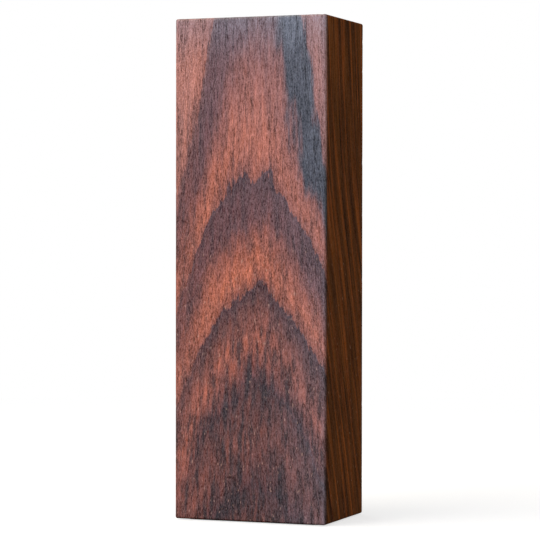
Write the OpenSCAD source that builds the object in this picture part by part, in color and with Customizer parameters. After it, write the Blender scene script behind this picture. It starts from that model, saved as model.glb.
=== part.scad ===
// Block-type holder for dip pens. Three bores run right through a solid wooden block. A steel rod in the foot of each
// bore keeps the block upright, and a sheet of leather let into the underside closes the bores. A brass-lined well drops
// into each bore from the top and lifts out, so that dried ink can be rinsed away.
// Millimetres. The origin is the centre of the leather's underside. The front is towards -Y, and +Z is up.

/* [Block] */
// Width of the wooden block, left to right
block_w = 48; // [48:1:60]
// Depth of the wooden block, front to back
block_d = 34; // [33:1:44]
// Height of the wooden block
block_h = 150; // [146:1:170]
// Radius that eases every edge of the block
edge_r = 0.7; // [0.4:0.1:1.2]

/* [Pen wells] */
// Distance between the axes of neighbouring wells
well_pitch = 14.8; // [14.4:0.1:15.6]
// Inside diameter of a well
pen_bore = 10; // [9:0.1:10.2]
// Wall thickness of the brass tube that lines a well
tube_wall = 0.6; // [0.5:0.05:0.7]
// Length of the brass tube
tube_len = 115; // [100:1:118]
// Height of the collar's lip above the wood
lip_h = 0.5; // [0.45:0.05:1]
// Gap all round between a lifting part and the wood
slide_gap = 0.1; // [0.06:0.01:0.2]
// Thickness of the cork disc at the bottom of a well
cork_h = 2.5; // [2:0.1:4]

/* [Foot] */
// Distance from the block's sides to the recess for the leather
leather_inset = 2; // [1.5:0.1:2.4]
// Thickness of the base leather
leather_t = 1.8; // [1.5:0.1:2.5]
// How far the leather stands proud of the wood
leather_proud = 0.3; // [0.2:0.1:0.5]
// Gap between the top of a ballast rod and the well above it
rod_headroom = 2; // [1:0.5:6]

/* [Hidden] */
$fn = 96;

WELLS = ["left", "centre", "right"];
WELL_PARTS = ["well_collar", "well_tube", "well_end_plug", "well_cork", "ballast_rod"];

// Colours
rosewood = "#5a2f2a";
brass = "#b8923c";
steel = "#8d9196";
cork = "#b98a5a";
leather = "#2a1c16";

// Heights
block_z0 = leather_proud;
top_z = block_z0 + block_h;
tube_z0 = top_z - tube_len;

// Brass liner
tube_od = pen_bore + 2 * tube_wall;
spigot_wall = 0.6;
spigot_od = tube_od + 2 * spigot_wall;
spigot_len = 5;
lip_step = 0.5;
lip_od = spigot_od + 2 * lip_step;
lip_round = 0.2;
mouth_round = 0.35;

// Foot of the liner: the counterbore holds the end plug's spigot and the cork, which is trapped under the step
foot_step = 0.25;
foot_bore = pen_bore + 2 * foot_step;
end_flange_h = 1;
end_spigot_h = 1.5;
end_chamfer = 0.3;
cork_play = 0.1;
foot_depth = end_spigot_h + cork_h;

// Bores in the wood
bore_d = tube_od + 2 * slide_gap;
seat_relief = 0.5;
seat_depth = spigot_len + seat_relief;

// Foot of the block
recess_h = leather_t - leather_proud;
leather_corner_r = 3;
leather_play = 0.2;
rod_play = 0.1;
rod_chamfer = 0.5;
rod_d = bore_d - 2 * rod_play;
rod_len = tube_z0 - end_flange_h - rod_headroom - leather_t;

overcut = 1;

function well_x(i) = (i - 1) * well_pitch;

// A flat rectangle with rounded corners, centred on the origin
module rounded_rect(w, d, r) {
    square([w - 2 * r, d], center = true);
    square([w, d - 2 * r], center = true);
    for (sx = [-1, 1], sy = [-1, 1])
        translate([sx * (w / 2 - r), sy * (d / 2 - r)])
            circle(r);
}

// The block before it is bored: its three outlines meet, so that all twelve edges are eased
module eased_block() {
    translate([0, 0, block_z0 + block_h / 2])
        intersection() {
            linear_extrude(block_h, center = true)
                rounded_rect(block_w, block_d, edge_r);
            rotate([90, 0, 0])
                linear_extrude(block_d, center = true)
                    rounded_rect(block_w, block_h, edge_r);
            rotate([0, 90, 0])
                linear_extrude(block_w, center = true)
                    rounded_rect(block_h, block_d, edge_r);
        }
}

// The bore for one well, right through the block, with a wider seat for the collar at its top
module well_bore(x) {
    translate([x, 0, block_z0 - overcut])
        cylinder(h = block_h + 2 * overcut, d = bore_d);
    translate([x, 0, top_z - seat_depth])
        cylinder(h = seat_depth + overcut, d = spigot_od + 2 * slide_gap);
}

module leather_recess() {
    translate([0, 0, block_z0 - overcut])
        linear_extrude(recess_h + overcut)
            rounded_rect(block_w - 2 * leather_inset, block_d - 2 * leather_inset, leather_corner_r);
}

module wood_block() {
    color(rosewood)
        difference() {
            eased_block();
            for (i = [0 : len(WELLS) - 1])
                well_bore(well_x(i));
            leather_recess();
        }
}

module base_leather() {
    color(leather)
        linear_extrude(leather_t)
            rounded_rect(
                block_w - 2 * (leather_inset + leather_play),
                block_d - 2 * (leather_inset + leather_play),
                leather_corner_r - leather_play);
}

// The turned ring at a well's mouth: a lip that rests on the wood, and a spigot that the tube is soldered into
module well_collar(x) {
    color(brass)
        translate([x, 0, top_z])
            rotate_extrude()
                difference() {
                    union() {
                        translate([pen_bore / 2, 0])
                            square([(lip_od - pen_bore) / 2 - lip_round, lip_h]);
                        translate([pen_bore / 2, 0])
                            square([(lip_od - pen_bore) / 2, lip_h - lip_round]);
                        translate([lip_od / 2 - lip_round, lip_h - lip_round])
                            circle(lip_round);
                        translate([tube_od / 2, -spigot_len])
                            square([spigot_wall, spigot_len]);
                    }
                    difference() {
                        translate([pen_bore / 2, lip_h - mouth_round])
                            square(mouth_round);
                        translate([pen_bore / 2 + mouth_round, lip_h - mouth_round])
                            circle(mouth_round);
                    }
                }
}

module well_tube(x) {
    color(brass)
        translate([x, 0, tube_z0])
            difference() {
                cylinder(h = tube_len, d = tube_od);
                translate([0, 0, -overcut])
                    cylinder(h = tube_len + 2 * overcut, d = pen_bore);
                translate([0, 0, -overcut])
                    cylinder(h = foot_depth + overcut, d = foot_bore);
            }
}

// The turned disc that closes a tube: a flange under the tube's end, and a spigot inside its counterbore
module well_end_plug(x) {
    color(brass)
        translate([x, 0, tube_z0 - end_flange_h])
            rotate_extrude()
                polygon([
                    [0, 0],
                    [tube_od / 2 - end_chamfer, 0],
                    [tube_od / 2, end_chamfer],
                    [tube_od / 2, end_flange_h],
                    [foot_bore / 2, end_flange_h],
                    [foot_bore / 2, end_flange_h + end_spigot_h],
                    [0, end_flange_h + end_spigot_h]]);
}

module well_cork(x) {
    color(cork)
        translate([x, 0, tube_z0 + end_spigot_h])
            cylinder(h = cork_h, d = foot_bore - 2 * cork_play);
}

module ballast_rod(x) {
    color(steel)
        translate([x, 0, leather_t])
            rotate_extrude()
                polygon([
                    [0, 0],
                    [rod_d / 2 - rod_chamfer, 0],
                    [rod_d / 2, rod_chamfer],
                    [rod_d / 2, rod_len - rod_chamfer],
                    [rod_d / 2 - rod_chamfer, rod_len],
                    [0, rod_len]]);
}

wood_block();
base_leather();
for (i = [0 : len(WELLS) - 1]) {
    well_collar(well_x(i));
    well_tube(well_x(i));
    well_end_plug(well_x(i));
    well_cork(well_x(i));
    ballast_rod(well_x(i));
}
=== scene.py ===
# A block-type dip pen holder: a rosewood block with three lift-out brass wells, steel ballast and a leather
# base.
# Lengths are in millimetres, in the CAD frame, until a vertex or a node needs metres.

import math

import bmesh
import bpy
import numpy as np
from mathutils import Matrix, Vector, noise


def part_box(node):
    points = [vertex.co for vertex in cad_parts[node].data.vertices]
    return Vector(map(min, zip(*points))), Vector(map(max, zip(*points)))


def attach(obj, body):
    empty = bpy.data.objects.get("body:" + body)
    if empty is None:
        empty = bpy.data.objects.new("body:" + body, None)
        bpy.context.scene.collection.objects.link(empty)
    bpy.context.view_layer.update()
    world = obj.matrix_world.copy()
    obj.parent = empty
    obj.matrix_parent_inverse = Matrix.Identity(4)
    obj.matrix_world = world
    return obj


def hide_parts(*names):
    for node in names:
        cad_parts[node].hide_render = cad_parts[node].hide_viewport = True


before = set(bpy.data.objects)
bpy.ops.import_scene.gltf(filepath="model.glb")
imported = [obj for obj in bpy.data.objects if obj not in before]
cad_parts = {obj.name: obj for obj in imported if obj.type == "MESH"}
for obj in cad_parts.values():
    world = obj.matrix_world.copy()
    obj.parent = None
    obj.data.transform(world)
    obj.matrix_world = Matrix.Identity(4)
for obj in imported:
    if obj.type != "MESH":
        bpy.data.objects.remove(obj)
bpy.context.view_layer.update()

MM = 0.001
SIDES = ("left", "centre", "right")


def box_mm(node):
    """The lowest and highest corner of a CAD node, in millimetres."""
    low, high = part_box(node)
    return np.array(low) / MM, np.array(high) / MM


BLOCK_LOW, BLOCK_HIGH = box_mm("wood_block")
BLOCK_HALF = (BLOCK_HIGH - BLOCK_LOW) / 2
BLOCK_MID = (BLOCK_HIGH + BLOCK_LOW) / 2
TOP_Z = BLOCK_HIGH[2]


# ----------------------------------------------------------------------------------------------------------
# Camera, light and floor
# ----------------------------------------------------------------------------------------------------------

def make_camera():
    """A long lens to the right of the front face, a little above the middle of the block."""
    azimuth, distance, height = math.radians(21.0), 700.8, 83.7
    pitch, roll = math.radians(-0.714), math.radians(0.08)
    data = bpy.data.cameras.new("camera")
    data.lens = 153.96
    data.sensor_width = 36
    data.clip_start = 0.05
    data.clip_end = 50
    camera = bpy.data.objects.new("camera", data)
    place = Vector((math.sin(azimuth) * distance, -math.cos(azimuth) * distance, height)) * MM
    turn = Matrix.Rotation(azimuth, 4, "Z") @ Matrix.Rotation(math.pi / 2 + pitch, 4, "X")
    camera.matrix_world = Matrix.Translation(place) @ turn @ Matrix.Rotation(roll, 4, "Z")
    bpy.context.scene.collection.objects.link(camera)
    bpy.context.scene.camera = camera


def make_softbox(name, azimuth, elevation, distance, width, height, radiance, colour):
    """A rectangular lamp that faces the middle of the block. Azimuth 0 is straight in front, and 90 is to the
    right."""
    a, e = math.radians(azimuth), math.radians(elevation)
    away = Vector((math.sin(a) * math.cos(e), -math.cos(a) * math.cos(e), math.sin(e)))
    data = bpy.data.lights.new(name, "AREA")
    data.shape = "RECTANGLE"
    data.size, data.size_y = width, height
    data.energy = radiance * math.pi * width * height
    data.color = colour
    lamp = bpy.data.objects.new(name, data)
    lamp.location = Vector(BLOCK_MID) * MM + away * distance
    lamp.rotation_euler = away.to_track_quat("Z", "Y").to_euler()
    lamp.visible_camera = False
    bpy.context.scene.collection.objects.link(lamp)


# Azimuth and elevation in degrees, distance, width and height in metres, radiance, colour
SOFTBOXES = {
    "key": (-48, 42, 0.95, 0.9, 0.9, 3.6, (1.0, 0.93, 0.80)),
    "sheen": (-22, 17, 1.0, 0.8, 0.68, 1.7, (0.50, 0.62, 1.0)),
    "edge": (42, 6, 0.9, 0.12, 0.7, 2.4, (0.85, 0.90, 1.0)),
    "side": (80, 22, 0.9, 0.5, 0.7, 1.1, (1.0, 0.93, 0.75)),
    "overhead": (0, 89, 0.9, 0.7, 0.7, 1.2, (1.0, 1.0, 1.0)),
    "back": (-145, 20, 1.0, 0.6, 0.8, 1.2, (1.0, 1.0, 1.0)),
}


def make_floor_bounce(name, x, y, width, depth, radiance):
    """Light that a patch of the lit floor in front of the block throws back up at its front face."""
    data = bpy.data.lights.new(name, "AREA")
    data.shape = "RECTANGLE"
    data.size, data.size_y = width, depth
    data.energy = radiance * math.pi * width * depth
    data.color = (0.85, 0.90, 1.0)
    lamp = bpy.data.objects.new(name, data)
    lamp.location = (x, y, 0.0002)
    lamp.rotation_euler = (math.pi, 0, 0)
    lamp.visible_camera = False
    bpy.context.scene.collection.objects.link(lamp)


def make_world():
    """White behind the object, and dim for light that reaches it, so that the lamps do the lighting."""
    world = bpy.data.worlds.new("studio")
    bpy.context.scene.world = world
    world.use_nodes = True
    g = Graph(world.node_tree)
    path = g.node("ShaderNodeLightPath")
    ambient = g.mix(path.outputs["Is Glossy Ray"], (0.2, 0.2, 0.2), (0.02, 0.02, 0.022))
    shown = g.mix(path.outputs["Is Camera Ray"], ambient, (1, 1, 1))
    background = g.node("ShaderNodeBackground", Color=shown)
    out = g.node("ShaderNodeOutputWorld")
    g.link(background.outputs[0], out.inputs["Surface"])


def make_floor():
    """A pale floor that shades softly under the object and fades to plain white further off. Seen from below,
    it is clear, so that the underside shows."""
    half, z = 4.0, -0.02 * MM
    mesh = bpy.data.meshes.new("floor")
    corners = [(-half, -half, z), (half, -half, z), (half, half, z), (-half, half, z)]
    mesh.from_pydata(corners, [], [(0, 1, 2, 3)])
    floor = bpy.data.objects.new("floor", mesh)
    bpy.context.scene.collection.objects.link(floor)
    material = bpy.data.materials.new("floor")
    material.use_nodes = True
    g = Graph(material.node_tree)
    _, x, y, _ = object_mm(g)
    far = g.step(g.length(x, y), 120.0, 520.0)
    diffuse = g.node("ShaderNodeBsdfDiffuse", Color=(0.45, 0.45, 0.45))
    glow = g.node("ShaderNodeEmission", Color=(1, 1, 1), Strength=0.66)
    near = g.node("ShaderNodeAddShader")
    g.link(diffuse.outputs[0], near.inputs[0])
    g.link(glow.outputs[0], near.inputs[1])
    plain = g.node("ShaderNodeEmission", Color=(1, 1, 1), Strength=1.0)
    both = g.node("ShaderNodeMixShader", Fac=far)
    g.link(near.outputs[0], both.inputs[1])
    g.link(plain.outputs[0], both.inputs[2])
    from_below = g.node("ShaderNodeMixShader", Fac=g.node("ShaderNodeNewGeometry").outputs["Backfacing"])
    g.link(both.outputs[0], from_below.inputs[1])
    g.link(g.node("ShaderNodeBsdfTransparent").outputs[0], from_below.inputs[2])
    out = g.node("ShaderNodeOutputMaterial")
    g.link(from_below.outputs[0], out.inputs["Surface"])
    mesh.materials.append(material)
    floor.visible_diffuse = False
    floor.visible_glossy = False


# ----------------------------------------------------------------------------------------------------------
# Node graphs
# ----------------------------------------------------------------------------------------------------------

class Graph:
    """Adds nodes to one tree. Every method that makes a value returns the socket that holds it."""

    def __init__(self, tree):
        self.tree = tree
        tree.nodes.clear()

    def link(self, source, target):
        self.tree.links.new(source, target)

    def feed(self, socket, value):
        """Sets an input: a link if value is a socket, else its own number or colour."""
        if isinstance(value, bpy.types.NodeSocket):
            self.link(value, socket)
        elif socket.type == "RGBA" and len(value) == 3:
            socket.default_value = (*value, 1)
        else:
            socket.default_value = value

    def node(self, kind, **inputs):
        n = self.tree.nodes.new(kind)
        for name, value in inputs.items():
            self.feed(n.inputs[name.replace("_", " ")], value)
        return n

    def math(self, operation, *values, clamp=False):
        n = self.tree.nodes.new("ShaderNodeMath")
        n.operation = operation
        n.use_clamp = clamp
        for socket, value in zip(n.inputs, values):
            self.feed(socket, value)
        return n.outputs[0]

    def add(self, a, b):
        return self.math("ADD", a, b)

    def sub(self, a, b):
        return self.math("SUBTRACT", a, b)

    def mul(self, a, b):
        return self.math("MULTIPLY", a, b)

    def length(self, *parts):
        """The length of a vector with two or three parts."""
        total = self.mul(parts[0], parts[0])
        for part in parts[1:]:
            total = self.math("MULTIPLY_ADD", part, part, total)
        return self.math("SQRT", total)

    def step(self, value, low, high):
        """0 below low and 1 above high, with a smooth change between. Low may be the larger."""
        n = self.tree.nodes.new("ShaderNodeMapRange")
        n.interpolation_type = "SMOOTHSTEP"
        self.feed(n.inputs["Value"], value)
        bottom, top = (low, high) if low < high else (high, low)
        n.inputs["From Min"].default_value = bottom
        n.inputs["From Max"].default_value = top
        n.inputs["To Min"].default_value = float(low > high)
        n.inputs["To Max"].default_value = float(low < high)
        return n.outputs["Result"]

    def combine(self, x, y, z):
        n = self.tree.nodes.new("ShaderNodeCombineXYZ")
        for socket, value in zip(n.inputs, (x, y, z)):
            self.feed(socket, value)
        return n.outputs[0]

    def scaled(self, vector, x, y, z):
        n = self.tree.nodes.new("ShaderNodeVectorMath")
        n.operation = "MULTIPLY"
        self.feed(n.inputs[0], vector)
        n.inputs[1].default_value = (x, y, z)
        return n.outputs[0]

    def noise(self, vector, scale=1.0, detail=2.0, roughness=0.5, seed=0.0):
        n = self.tree.nodes.new("ShaderNodeTexNoise")
        n.noise_dimensions = "4D"
        self.feed(n.inputs["Vector"], vector)
        n.inputs["W"].default_value = seed
        n.inputs["Scale"].default_value = scale
        n.inputs["Detail"].default_value = detail
        n.inputs["Roughness"].default_value = roughness
        return n.outputs["Fac"]

    def cells(self, vector, scale=1.0, feature="F1"):
        n = self.tree.nodes.new("ShaderNodeTexVoronoi")
        n.feature = feature
        self.feed(n.inputs["Vector"], vector)
        n.inputs["Scale"].default_value = scale
        return n.outputs

    def mix(self, factor, a, b, blend="MIX"):
        n = self.tree.nodes.new("ShaderNodeMix")
        n.data_type = "RGBA"
        n.blend_type = blend
        self.feed(n.inputs["Factor"], factor)
        self.feed(n.inputs[6], a)
        self.feed(n.inputs[7], b)
        return n.outputs[2]

    def ramp(self, value, low, high, stops):
        """A colour ramp over low to high, with stops of (value, colour)."""
        n = self.tree.nodes.new("ShaderNodeValToRGB")
        place = self.math("DIVIDE", self.sub(value, low), high - low)
        self.feed(n.inputs[0], place)
        elements = n.color_ramp.elements
        while len(elements) > 1:
            elements.remove(elements[-1])
        for i, (at, colour) in enumerate(stops):
            spot = (at - low) / (high - low)
            element = elements[0] if i == 0 else elements.new(spot)
            element.position = spot
            element.color = (*colour, 1)
        return n.outputs["Color"]

    def bump(self, height, distance_mm, strength=1.0):
        n = self.tree.nodes.new("ShaderNodeBump")
        self.feed(n.inputs["Height"], height)
        n.inputs["Distance"].default_value = distance_mm * MM
        n.inputs["Strength"].default_value = strength
        return n.outputs[0]


def object_mm(g):
    """The point in the piece's own frame, in millimetres: (the vector, x, y, z)."""
    point = g.scaled(g.node("ShaderNodeTexCoord").outputs["Object"], 1 / MM, 1 / MM, 1 / MM)
    parts = g.node("ShaderNodeSeparateXYZ")
    g.link(point, parts.inputs[0])
    return point, *parts.outputs


def new_material(name):
    material = bpy.data.materials.new(name)
    material.use_nodes = True
    g = Graph(material.node_tree)
    shader = g.node("ShaderNodeBsdfPrincipled")
    out = g.node("ShaderNodeOutputMaterial")
    g.link(shader.outputs[0], out.inputs["Surface"])
    return material, g, shader


# ----------------------------------------------------------------------------------------------------------
# Rosewood
# ----------------------------------------------------------------------------------------------------------

# Tones of the wood, as linear colours
TONES = {
    "rose": (0.390, 0.132, 0.080),
    "straw": (0.620, 0.350, 0.240),
    "bright": (0.420, 0.102, 0.039),
    "rust": (0.252, 0.061, 0.028),
    "brown": (0.174, 0.044, 0.024),
    "plum": (0.125, 0.034, 0.026),
    "umber": (0.078, 0.020, 0.016),
    "ink": (0.042, 0.011, 0.009),
    "slate": (0.018, 0.015, 0.019),
    "bark": (0.200, 0.056, 0.005),
    "dusk": (0.142, 0.043, 0.004),
    "flame": (0.300, 0.073, 0.007),
}

# One growth ring, from its inner edge (0) to its outer edge (1). A young ring starts pale at a sharp line and
# darkens outwards. An old ring is darker, and pale only in its middle. The side's rings are narrow, with a
# pale line in each. Widths and depths are in millimetres.
YOUNG_RING = [(0.0, "rust"), (0.2, "bright"), (0.45, "rust"), (0.65, "plum"), (1.0, "umber")]
OLD_RING = [(0.0, "umber"), (0.45, "rust"), (1.0, "ink")]
SIDE_RING = [(0.0, "dusk"), (0.5, "bark"), (0.75, "flame"), (1.0, "dusk")]
RING_WIDTH, SIDE_RING_WIDTH = 4.9, 2.6
RING_START = -3.1
HEART_X, HEART_TO_FACE = 2.0, 50.0
RING_SQUASH = 0.52
# The rings run out of the front face slowly at the top of the block, and faster below a soft bend.
RUN_OUT, BEND_DOWN, BEND_SOFTNESS, EXTRA_RUN_OUT = 0.05, 45.0, 12.0, 0.0575


def ring_depth(g, x, y, z):
    """Growth-ring depth: distance from the heart of the tree, which stood in front of the front face, less
    the amount that the rings run out of that face on the way down."""
    behind = g.math("MULTIPLY_ADD", y, RING_SQUASH, HEART_TO_FACE - BLOCK_LOW[1] * RING_SQUASH)
    radius = g.length(g.sub(x, HEART_X), behind)
    down = g.sub(TOP_Z, z)
    past_bend = g.sub(down, BEND_DOWN)
    bend = g.mul(g.add(g.length(past_bend, BEND_SOFTNESS), past_bend), EXTRA_RUN_OUT)
    run_out = g.math("MULTIPLY_ADD", down, RUN_OUT, bend)
    return g.sub(g.sub(radius, HEART_TO_FACE), run_out)


def growth_rings(g, depth, width, profile):
    """The tone at this depth, where every ring is equally wide and has the same profile."""
    place = g.math("FRACT", g.mul(g.sub(depth, RING_START), 1 / width))
    return g.ramp(place, 0.0, 1.0, [(at, TONES[tone]) for at, tone in profile])


def signed(g, value, amount):
    """Noise from 0 to 1, turned into a swing of -amount to amount."""
    return g.mul(g.sub(value, 0.5), 2 * amount)


def rosewood():
    material, g, shader = new_material("rosewood")
    _, x, y, z = object_mm(g)
    depth = ring_depth(g, x, y, z)
    down = g.sub(TOP_Z, z)

    # Wood cells follow the rings, so everything finer is laid out across, into and along the grain.
    grain = g.combine(x, depth, z)
    sway = g.noise(g.scaled(grain, 0.09, 0.15, 0.025), detail=1, seed=3.0)
    tooth = g.noise(g.scaled(grain, 1.1, 1.1, 0.08), detail=3, roughness=0.72, seed=1.0)
    wobble = g.noise(g.scaled(grain, 0.22, 0.1, 0.035), detail=2, seed=25.0)
    jagged = g.add(signed(g, wobble, 1.1), signed(g, tooth, 0.7))
    moved = g.add(depth, g.add(signed(g, sway, 0.7), jagged))
    across = g.add(x, signed(g, g.noise(g.scaled(grain, 0.16, 0.1, 0.05), detail=2, seed=7.0), 3.0))

    # Going down the block the depth falls, the wood gets darker and its rings softer. The figure is faint
    # along the left edge, and rosy at the top.
    young = growth_rings(g, moved, RING_WIDTH, YOUNG_RING)
    old = growth_rings(g, moved, RING_WIDTH, OLD_RING)
    colour = g.mix(g.step(moved, -7.5, -9.0), young, old)
    colour = g.mix(g.mul(g.step(moved, -12.0, -15.0), 0.6), colour, TONES["ink"])
    colour = g.mix(g.mul(g.step(across, -14.0, -21.0), 0.55), colour, TONES["brown"])
    colour = g.mix(g.mul(g.step(moved, 1.0, 3.0), 0.8), colour, TONES["rose"])
    # A blackish band crosses the young rings on the right.
    bent = g.add(moved, signed(g, wobble, 1.6))
    band = g.mul(g.step(bent, -1.2, -0.1), g.step(bent, 1.8, 1.2))
    colour = g.mix(g.mul(band, g.step(across, 6.0, 12.0)), colour, TONES["slate"])

    wander = g.noise(g.scaled(grain, 0.09, 0.25, 0.01), detail=1, seed=15.0)
    deep = growth_rings(g, g.add(depth, signed(g, wander, 4.0)), SIDE_RING_WIDTH, SIDE_RING)
    inside = g.sub(y, BLOCK_LOW[1])
    behind = g.step(inside, 0.4, 1.8)
    colour = g.mix(behind, colour, deep)

    # Streaks, fibres and open pores, from coarse to fine
    streak = g.noise(g.scaled(grain, 0.7, 0.7, 0.035), detail=2, roughness=0.6, seed=11.0)
    fibre = g.noise(g.scaled(grain, 3.2, 3.2, 0.35), detail=1, roughness=0.8, seed=5.0)
    speckle = g.noise(g.scaled(grain, 3.6, 3.6, 1.7), detail=1, roughness=0.7, seed=17.0)
    lines = g.noise(g.scaled(grain, 3.2, 3.2, 0.02), detail=2, roughness=0.6, seed=13.0)
    coarse = g.math("MULTIPLY_ADD", g.sub(streak, 0.5), 2.3, 0.92)
    lower = g.step(moved, -8.5, -11.0)
    coarse = g.math("MULTIPLY_ADD", g.mul(g.sub(streak, 0.5), lower), 2.6, coarse)
    fine = g.math("MULTIPLY_ADD", g.sub(speckle, 0.5), 1.9, g.mul(g.sub(fibre, 0.5), 2.1))
    fine = g.mul(fine, g.math("MULTIPLY_ADD", behind, -0.65, 1.0))
    fine = g.math("MULTIPLY_ADD", g.mul(g.sub(lines, 0.5), behind), 2.6, fine)
    gain = g.add(coarse, fine)
    gain = g.math("MAXIMUM", gain, 0.3)
    colour = g.mix(1.0, colour, g.combine(gain, gain, gain), "MULTIPLY")
    pore = g.step(g.noise(g.scaled(grain, 3.0, 3.0, 0.22), detail=1, seed=9.0), 0.36, 0.26)
    colour = g.mix(g.mul(pore, g.math("MULTIPLY_ADD", behind, -0.12, 0.2)), colour, TONES["ink"])
    fleck = g.step(g.noise(g.scaled(grain, 2.0, 2.0, 0.55), detail=1, seed=21.0), 0.65, 0.76)
    colour = g.mix(g.mul(fleck, g.mul(g.step(down, 55.0, 75.0), 0.45)), colour, TONES["straw"])

    # Painted sheen: a pale cool colour mixed into the front face stands in for the lamps' reflection in the
    # polish. It is stronger towards the top and along the right edge, with a painted highlight line at that
    # edge.
    upper_sheen = g.mul(g.step(down, 80.0, 5.0), g.math("MULTIPLY_ADD", g.step(x, -18.0, 2.0), 0.08, 0.05))
    # Painted highlight in a narrow line at the right edge of the front, over painted sheen that grows towards
    # that edge.
    right = g.math("MULTIPLY_ADD", g.step(x, 22.0, 23.6), 0.10, g.mul(g.step(x, 0.0, 26.0), 0.11))
    # Painted sheen strongest in the top 15 mm, then textured by the grain's gain.
    painted_sheen = g.math("MULTIPLY_ADD", g.step(down, 15.0, -3.0), 0.26, g.add(upper_sheen, right))
    painted_sheen = g.mul(painted_sheen, gain)
    front_only = g.step(inside, 1.5, 0.3)
    # Only the front face gets the painted sheen and highlight, in a pale blue-grey.
    colour = g.mix(g.mul(painted_sheen, front_only), colour, (0.26, 0.285, 0.345))

    g.feed(shader.inputs["Base Color"], colour)
    rough = g.math("MULTIPLY_ADD", g.sub(fibre, 0.5), 0.3, 0.42)
    g.feed(shader.inputs["Roughness"], g.math("MULTIPLY_ADD", pore, 0.15, rough))
    shine = g.math("MULTIPLY_ADD", g.sub(fibre, 0.5), 1.6, 0.5)
    shine = g.math("MULTIPLY_ADD", g.sub(speckle, 0.5), 1.6, shine)
    g.feed(shader.inputs["Specular IOR Level"], g.math("MINIMUM", g.math("MAXIMUM", shine, 0.05), 1.0))
    height = g.sub(g.add(g.mul(fibre, 0.5), g.mul(speckle, 0.5)), pore)
    g.feed(shader.inputs["Normal"], g.bump(height, 0.12, 0.6))
    return material


# ----------------------------------------------------------------------------------------------------------
# Brass, steel, cork and leather
# ----------------------------------------------------------------------------------------------------------

def turned_metal(name, light, dark, roughness, ring_pitch, tarnish):
    """Metal off a lathe: fine tool rings about the axis, and tarnish that gathers in soft patches."""
    material, g, shader = new_material(name)
    point, x, y, z = object_mm(g)
    radius = g.length(x, y)
    turns = g.combine(g.mul(radius, 1.0 / ring_pitch), 0.0, g.mul(z, 1.0 / ring_pitch))
    tool = g.noise(turns, detail=2, seed=2.0)
    patch = g.noise(point, 0.35, detail=4, roughness=0.6, seed=4.0)
    spots = g.step(g.noise(point, 1.6, detail=3, seed=6.0), 0.60, 0.72)
    spotted = g.mul(spots, tarnish * 0.6)
    stained = g.math("MULTIPLY_ADD", g.step(patch, 0.42, 0.68), tarnish, spotted, clamp=True)
    g.feed(shader.inputs["Base Color"], g.mix(stained, light, dark))
    shader.inputs["Metallic"].default_value = 1.0
    rough = g.math("MULTIPLY_ADD", g.sub(tool, 0.5), 0.12, roughness)
    g.feed(shader.inputs["Roughness"], g.math("MULTIPLY_ADD", stained, 0.22, rough))
    g.feed(shader.inputs["Normal"], g.bump(tool, 0.02, 0.6))
    return material


def drawn_brass():
    """Brass tube: draw lines along its length, and dull brown tarnish."""
    material, g, shader = new_material("drawn_brass")
    point = object_mm(g)[0]
    lines = g.noise(g.scaled(point, 5.0, 5.0, 0.03), detail=2, seed=1.0)
    patch = g.noise(g.scaled(point, 0.25, 0.25, 0.06), detail=4, roughness=0.6, seed=8.0)
    stained = g.step(patch, 0.38, 0.68)
    g.feed(shader.inputs["Base Color"], g.mix(stained, (0.68, 0.46, 0.19), (0.36, 0.215, 0.09)))
    shader.inputs["Metallic"].default_value = 1.0
    rough = g.math("MULTIPLY_ADD", g.sub(lines, 0.5), 0.16, 0.30)
    g.feed(shader.inputs["Roughness"], g.math("MULTIPLY_ADD", stained, 0.18, rough))
    g.feed(shader.inputs["Normal"], g.bump(lines, 0.012, 0.5))
    return material


def cork_bark():
    """Cork: tight grains of slightly different browns, dark seams between them and a few darker pits."""
    material, g, shader = new_material("cork")
    point = object_mm(g)[0]
    grains = g.cells(point, 1.3)
    seams = g.cells(point, 1.3, feature="DISTANCE_TO_EDGE")["Distance"]
    shade = g.node("ShaderNodeSeparateColor", Color=grains["Color"]).outputs[0]
    colour = g.mix(shade, (0.50, 0.30, 0.15), (0.66, 0.43, 0.23))
    colour = g.mix(g.step(seams, 0.07, 0.0), colour, (0.24, 0.12, 0.055))
    pit = g.step(g.noise(point, 1.1, detail=2, seed=3.0), 0.66, 0.72)
    colour = g.mix(pit, colour, (0.12, 0.055, 0.03))
    g.feed(shader.inputs["Base Color"], colour)
    g.feed(shader.inputs["Roughness"], g.math("MULTIPLY_ADD", shade, 0.1, 0.8))
    g.feed(shader.inputs["Normal"], g.bump(g.sub(g.step(seams, 0.0, 0.1), pit), 0.12, 0.6))
    return material


def base_leather():
    """Dark leather with a pebbled grain, scuffed paler where it rubs on the desk."""
    material, g, shader = new_material("base_leather")
    point = object_mm(g)[0]
    pebble = g.cells(point, 1.15, feature="DISTANCE_TO_EDGE")["Distance"]
    fine = g.noise(point, 3.0, detail=3, seed=5.0)
    scuff = g.step(g.noise(g.scaled(point, 0.16, 0.22, 0.2), detail=5, roughness=0.7, seed=2.0), 0.5, 0.72)
    colour = g.mix(g.step(pebble, 0.02, 0.2), (0.012, 0.007, 0.005), (0.045, 0.026, 0.019))
    colour = g.mix(g.mul(scuff, 0.55), colour, (0.13, 0.078, 0.05))
    g.feed(shader.inputs["Base Color"], colour)
    g.feed(shader.inputs["Roughness"], g.math("MULTIPLY_ADD", fine, 0.25, 0.48))
    height = g.add(g.step(pebble, 0.0, 0.28), g.mul(fine, 0.3))
    g.feed(shader.inputs["Normal"], g.bump(height, 0.14, 0.6))
    return material


# ----------------------------------------------------------------------------------------------------------
# Shapes
# ----------------------------------------------------------------------------------------------------------

ROUND_STEPS = 4
CORNER_STEPS = 5


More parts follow.
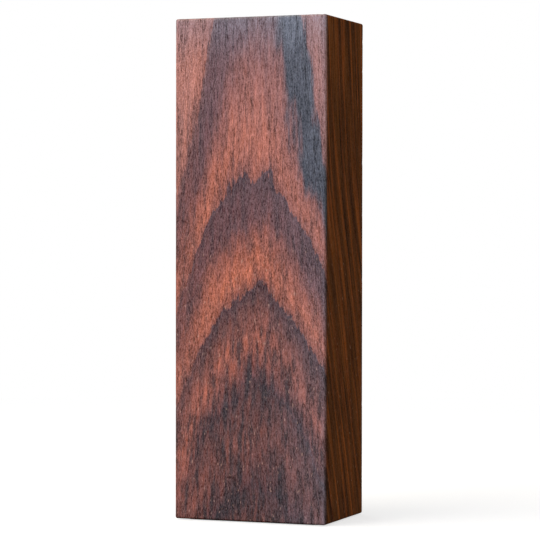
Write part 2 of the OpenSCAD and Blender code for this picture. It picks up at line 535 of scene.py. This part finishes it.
def loops(half, edge, plan, spacing):
    """Grid lines from -half to half: even ones in between, and closer ones where the edge and the corner
    curve."""
    bend = [edge * (1 - math.tan(math.pi / 4 * (1 - i / ROUND_STEPS))) for i in range(ROUND_STEPS + 1)]
    corner = []
    if plan > edge:
        corner = [edge + (plan - edge) * i / CORNER_STEPS for i in range(1, CORNER_STEPS + 1)]
    near = bend + corner
    inner = half - near[-1]
    count = max(2, round(2 * inner / spacing))
    middle = [-inner + 2 * inner * i / count for i in range(1, count)]
    return [t - half for t in near] + middle + [half - t for t in reversed(near)]


def rounded_box(low, high, plan, edge, spacing):
    """A box with rounded edges, and with corners of radius plan when seen from above, as a grid of quads."""
    middle, half = (low + high) / 2, (high - low) / 2
    lines = [loops(half[0], edge, plan, spacing), loops(half[1], edge, plan, spacing),
             loops(half[2], edge, edge, spacing)]
    last = [len(line) - 1 for line in lines]
    index, points, faces = {}, [], []

    def corner(ijk):
        if ijk not in index:
            index[ijk] = len(points)
            points.append([lines[axis][ijk[axis]] for axis in range(3)])
        return index[ijk]

    for axis in range(3):
        u, v = (axis + 1) % 3, (axis + 2) % 3
        for end in (0, last[axis]):
            for i in range(last[u]):
                for j in range(last[v]):
                    around = []
                    for di, dj in ((0, 0), (1, 0), (1, 1), (0, 1)):
                        ijk = [0, 0, 0]
                        ijk[axis], ijk[u], ijk[v] = end, i + di, j + dj
                        around.append(corner(tuple(ijk)))
                    faces.append(around if end else around[::-1])

    p = np.array(points)
    inner = half[:2] - plan
    core = np.clip(p[:, :2], -inner, inner)
    out = p[:, :2] - core
    reach = np.abs(out).max(axis=1)
    way = out / np.maximum(np.linalg.norm(out, axis=1), 1e-9)[:, None]
    side = reach - (plan - edge)
    rise = np.abs(p[:, 2]) - (half[2] - edge)
    bent = (side > 0) & (rise > 0)
    shrink = np.where(bent, edge / np.maximum(np.hypot(side, rise), 1e-9), 1.0)
    reach = np.where(bent, plan - edge + side * shrink, reach)
    tall = np.where(bent, half[2] - edge + rise * shrink, np.abs(p[:, 2]))
    p = np.column_stack([core + way * reach[:, None], np.sign(p[:, 2]) * tall])
    return p + middle, faces


def fillet(corners):
    """Points of a profile of (radius, height, rounding) corners, in order, with each corner rounded."""
    points, count = [], len(corners)
    for i, (r, z, rounding) in enumerate(corners):
        here = np.array([r, z])
        if rounding == 0:
            points.append(here)
            continue
        before, after = np.array(corners[i - 1][:2]), np.array(corners[(i + 1) % count][:2])
        a, b = (before - here), (after - here)
        a, b = a / np.linalg.norm(a), b / np.linalg.norm(b)
        half_angle = math.acos(np.clip(a @ b, -1, 1)) / 2
        start = here + a * rounding / math.tan(half_angle)
        end = here + b * rounding / math.tan(half_angle)
        centre = here + (a + b) / np.linalg.norm(a + b) * rounding / math.sin(half_angle)
        turn_a, turn_b = math.atan2(*(start - centre)[::-1]), math.atan2(*(end - centre)[::-1])
        turn = (turn_b - turn_a + math.pi) % (2 * math.pi) - math.pi
        for step in range(ROUND_STEPS + 1):
            t = turn_a + turn * step / ROUND_STEPS
            points.append(centre + rounding * np.array([math.cos(t), math.sin(t)]))
    return points


def lathe(profile, segments=96):
    """Turns a profile about the upright axis. A profile that starts and ends on the axis makes a solid; any
    other is closed and makes a ring."""
    solid = profile[0][0] < 1e-6 and profile[-1][0] < 1e-6
    points, rows, faces = [], [], []
    for r, z in profile:
        if r < 1e-6:
            rows.append([len(points)] * segments)
            points.append((0.0, 0.0, z))
            continue
        rows.append(list(range(len(points), len(points) + segments)))
        for s in range(segments):
            a = 2 * math.pi * s / segments
            points.append((r * math.cos(a), r * math.sin(a), z))
    pairs = list(zip(rows, rows[1:])) + ([] if solid else [(rows[-1], rows[0])])
    for below, above in pairs:
        for s in range(segments):
            t = (s + 1) % segments
            face = list(dict.fromkeys([below[s], below[t], above[t], above[s]]))
            if len(face) > 2:
                faces.append(face)
    return np.array(points), faces


def cut_fine(profile, spacing):
    """The same profile with its long straight runs cut into short ones."""
    points = [profile[0]]
    for a, b in zip(profile, profile[1:]):
        a, b = np.array(a), np.array(b)
        count = max(1, round(np.linalg.norm(b - a) / spacing))
        points += [a + (b - a) * (i + 1) / count for i in range(count)]
    return points


def make_mesh(name, points, faces):
    """A mesh in metres, with outward normals, smooth but for its sharp edges."""
    mesh = bpy.data.meshes.new(name)
    mesh.from_pydata((np.array(points) * MM).tolist(), [], faces)
    work = bmesh.new()
    work.from_mesh(mesh)
    bmesh.ops.recalc_face_normals(work, faces=work.faces)
    work.to_mesh(mesh)
    work.free()
    shade(mesh)
    return mesh


def shade(mesh):
    mesh.polygons.foreach_set("use_smooth", [True] * len(mesh.polygons))
    mesh.set_sharp_from_angle(angle=math.radians(35))
    mesh.update()


def add_piece(name, mesh, material, body, node, place=(0, 0, 0)):
    """Shows this mesh in place of a CAD node, and moves it with the node's body."""
    piece = bpy.data.objects.new(name, mesh)
    piece.location = Vector(place) * MM
    bpy.context.scene.collection.objects.link(piece)
    mesh.materials.append(material)
    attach(piece, body)
    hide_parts(node)
    return piece


def cut_away(mesh, cutters):
    """The mesh less each cutter, in turn."""
    target = bpy.data.objects.new("target", mesh)
    bpy.context.scene.collection.objects.link(target)
    helpers = []
    for points, faces in cutters:
        helper = bpy.data.objects.new("cutter", make_mesh("cutter", points, faces))
        bpy.context.scene.collection.objects.link(helper)
        helpers.append(helper)
        cut = target.modifiers.new("cut", "BOOLEAN")
        cut.operation, cut.solver, cut.object = "DIFFERENCE", "EXACT", helper
    bpy.context.view_layer.update()
    result = bpy.data.meshes.new_from_object(target.evaluated_get(bpy.context.evaluated_depsgraph_get()))
    for o in (target, *helpers):
        old = o.data
        bpy.data.objects.remove(o)
        bpy.data.meshes.remove(old)
    return result


# ----------------------------------------------------------------------------------------------------------
# The pieces
# ----------------------------------------------------------------------------------------------------------

EDGE_ROUND = 0.65
GRID = 1.0

# Depths of wear in the wood: soft hollows, rubbed edges and nicks in the edges
HOLLOW, RUB, NICK = 0.03, 0.06, 0.5
WEAR_REACH = 1.6
# No wear around a collar, whose lip needs a flat seat
COLLAR_SEAT = 8.5

# Radii that the wells and the block share
PEN_R, TUBE_R, FOOT_R, SPIGOT_R = 5.0, 5.6, 5.25, 6.2
BORE_R, SEAT_R, SEAT_DEPTH = 5.7, 6.3, 5.5
# How far a cutter passes the surface that it cuts
OVERCUT = 1.0


def well_axis(side):
    low, high = box_mm(f"{side}_well_collar")
    return (low[0] + high[0]) / 2, (low[1] + high[1]) / 2


def worn(p):
    """Sinks the surface a little below the true block: soft hollows everywhere, and rubbed, nicked edges."""
    middle, half = BLOCK_MID, BLOCK_HALF
    wells = [np.array(well_axis(side)) for side in SIDES]
    result = p.copy()
    for i, v in enumerate(p):
        gap = half - np.abs(v - middle)
        near = np.sort(gap)
        edge = max(0.0, 1 - (max(near[0], 0.0) + max(near[1], 0.0)) / WEAR_REACH)
        rub = 0.5 + 0.5 * noise.noise(Vector(v) * 0.09 + Vector((3.0, 0.0, 0.0)))
        nick = max(0.0, noise.noise(Vector(v) * 0.55) - 0.38)
        flat = 0.5 + 0.5 * noise.noise(Vector((v[0] * 0.06, v[1] * 0.06, v[2] * 0.022)))
        sink = HOLLOW * flat + edge * (RUB * rub + NICK * nick)
        if gap[2] < 0.05 and any(np.hypot(*(v[:2] - w)) < COLLAR_SEAT for w in wells):
            sink = 0.0
        inward = np.sign(middle - v) * (gap < EDGE_ROUND + 1e-6)
        size = np.linalg.norm(inward)
        if size > 0:
            result[i] = v + inward / size * sink
    return result


def make_block(material):
    points, faces = rounded_box(BLOCK_LOW, BLOCK_HIGH, EDGE_ROUND, EDGE_ROUND, GRID)
    mesh = make_mesh("block", worn(points), faces)
    leather_low, leather_high = box_mm("base_leather")
    bottom, top, seat_z = leather_high[2] - OVERCUT, TOP_Z + OVERCUT, TOP_Z - SEAT_DEPTH
    cutters = []
    for side in SIDES:
        bore_points, bore_faces = lathe([
            (0, bottom), (BORE_R, bottom), (BORE_R, seat_z), (SEAT_R, seat_z), (SEAT_R, top), (0, top)])
        cutters.append((bore_points + np.array([*well_axis(side), 0]), bore_faces))
    leather_play, recess_corner, recess_edge, recess_spacing = 0.2, 3.0, 0.02, 6.0
    room = np.array([leather_play, leather_play, 0])
    recess_low = leather_low - room - np.array([0, 0, OVERCUT])
    cutters.append(rounded_box(recess_low, leather_high + room, recess_corner, recess_edge, recess_spacing))
    mesh = cut_away(mesh, cutters)
    shade(mesh)
    add_piece("rosewood_block", mesh, material, "block", "wood_block")


def make_leather(material):
    low, high = box_mm("base_leather")
    points, faces = rounded_box(low, high, 2.8, 0.3, 0.9)
    mesh = make_mesh("leather", points, faces)
    add_piece("leather_base", mesh, material, "block", "base_leather")


def pitted(points):
    """Cork has small open pits, deepest on its rubbed top edge."""
    result = points.copy()
    for i, v in enumerate(points):
        pit = max(0.0, noise.noise(Vector(v) * 1.1) - 0.25)
        result[i, :2] *= 1 - 0.10 * pit
        if v[2] > points[:, 2].mean():
            result[i, 2] -= 0.5 * pit
    return result


def make_wells(collar_brass, tube_brass, cork, steel):
    for side in SIDES:
        body = f"{side}_well"
        x, y = well_axis(side)

        def add(name, profile, material, node, rider=body, change=None, segments=96):
            points, faces = lathe(profile, segments)
            points = change(points) if change else points
            mesh = make_mesh(name, points, faces)
            add_piece(f"{side}_{name}", mesh, material, rider, f"{side}_{node}", (x, y, 0))

        low, high = box_mm(f"{side}_well_collar")
        lip, foot, top = high[0] - x, low[2], high[2]
        groove, groove_half = 6.1, 0.13
        add("collar", fillet([
            (PEN_R, top, 0.3), (groove - groove_half, top, 0), (groove, top - groove_half, 0),
            (groove + groove_half, top, 0), (lip, top, 0.2), (lip, TOP_Z, 0.08), (SPIGOT_R, TOP_Z, 0),
            (SPIGOT_R, foot, 0.2), (TUBE_R, foot, 0), (TUBE_R, TOP_Z, 0), (PEN_R, TOP_Z, 0)]),
            collar_brass, "well_collar", segments=128)

        low, high = box_mm(f"{side}_well_tube")
        step = box_mm(f"{side}_well_cork")[1][2]
        add("tube", fillet([
            (PEN_R, high[2], 0), (TUBE_R, high[2], 0), (TUBE_R, low[2], 0.08), (FOOT_R, low[2], 0),
            (FOOT_R, step, 0), (PEN_R, step, 0)]), tube_brass, "well_tube")

        low, high = box_mm(f"{side}_well_end_plug")
        shoulder = box_mm(f"{side}_well_tube")[0][2]
        chamfer = 0.3
        add("end_plug", fillet([
            (0, low[2] + 0.5, 0), (0.7, low[2], 0), (TUBE_R - chamfer, low[2], 0),
            (TUBE_R, low[2] + chamfer, 0), (TUBE_R, shoulder, 0), (FOOT_R, shoulder, 0),
            (FOOT_R, high[2], 0.1), (0, high[2], 0)]),
            tube_brass, "well_end_plug")

        low, high = box_mm(f"{side}_well_cork")
        rim = high[0] - x
        cork_outline = fillet([(0, low[2], 0), (rim, low[2], 0.2), (rim, high[2], 0.35), (0, high[2], 0)])
        cork_profile = cut_fine(cork_outline, 0.4)
        add("cork", cork_profile, cork, "well_cork", change=pitted)

        low, high = box_mm(f"{side}_ballast_rod")
        rim, chamfer = high[0] - x, 0.5
        add("ballast_steel", fillet([
            (0, low[2] + 0.6, 0), (0.9, low[2], 0), (rim - chamfer, low[2], 0), (rim, low[2] + chamfer, 0),
            (rim, high[2] - chamfer, 0), (rim - chamfer, high[2], 0), (0.9, high[2], 0),
            (0, high[2] - 0.6, 0)]),
            steel, "ballast_rod", rider="block")


# ----------------------------------------------------------------------------------------------------------
# Build
# ----------------------------------------------------------------------------------------------------------

make_camera()
make_world()
make_floor()
for name, settings in SOFTBOXES.items():
    make_softbox(name, *settings)
make_floor_bounce("bounce", -0.276, -0.5, 0.6, 0.8, 1.35)
make_floor_bounce("bounce_near", -0.096, -0.0575, 0.24, 0.08, 0.8)

scene = bpy.context.scene
scene.view_settings.view_transform = "Standard"

make_block(rosewood())
make_leather(base_leather())
make_wells(
    turned_metal("collar_brass", (0.80, 0.56, 0.25), (0.42, 0.26, 0.11), 0.24, 0.22, 0.45),
    drawn_brass(), cork_bark(),
    turned_metal("steel", (0.50, 0.50, 0.51), (0.20, 0.16, 0.13), 0.32, 0.3, 0.35))
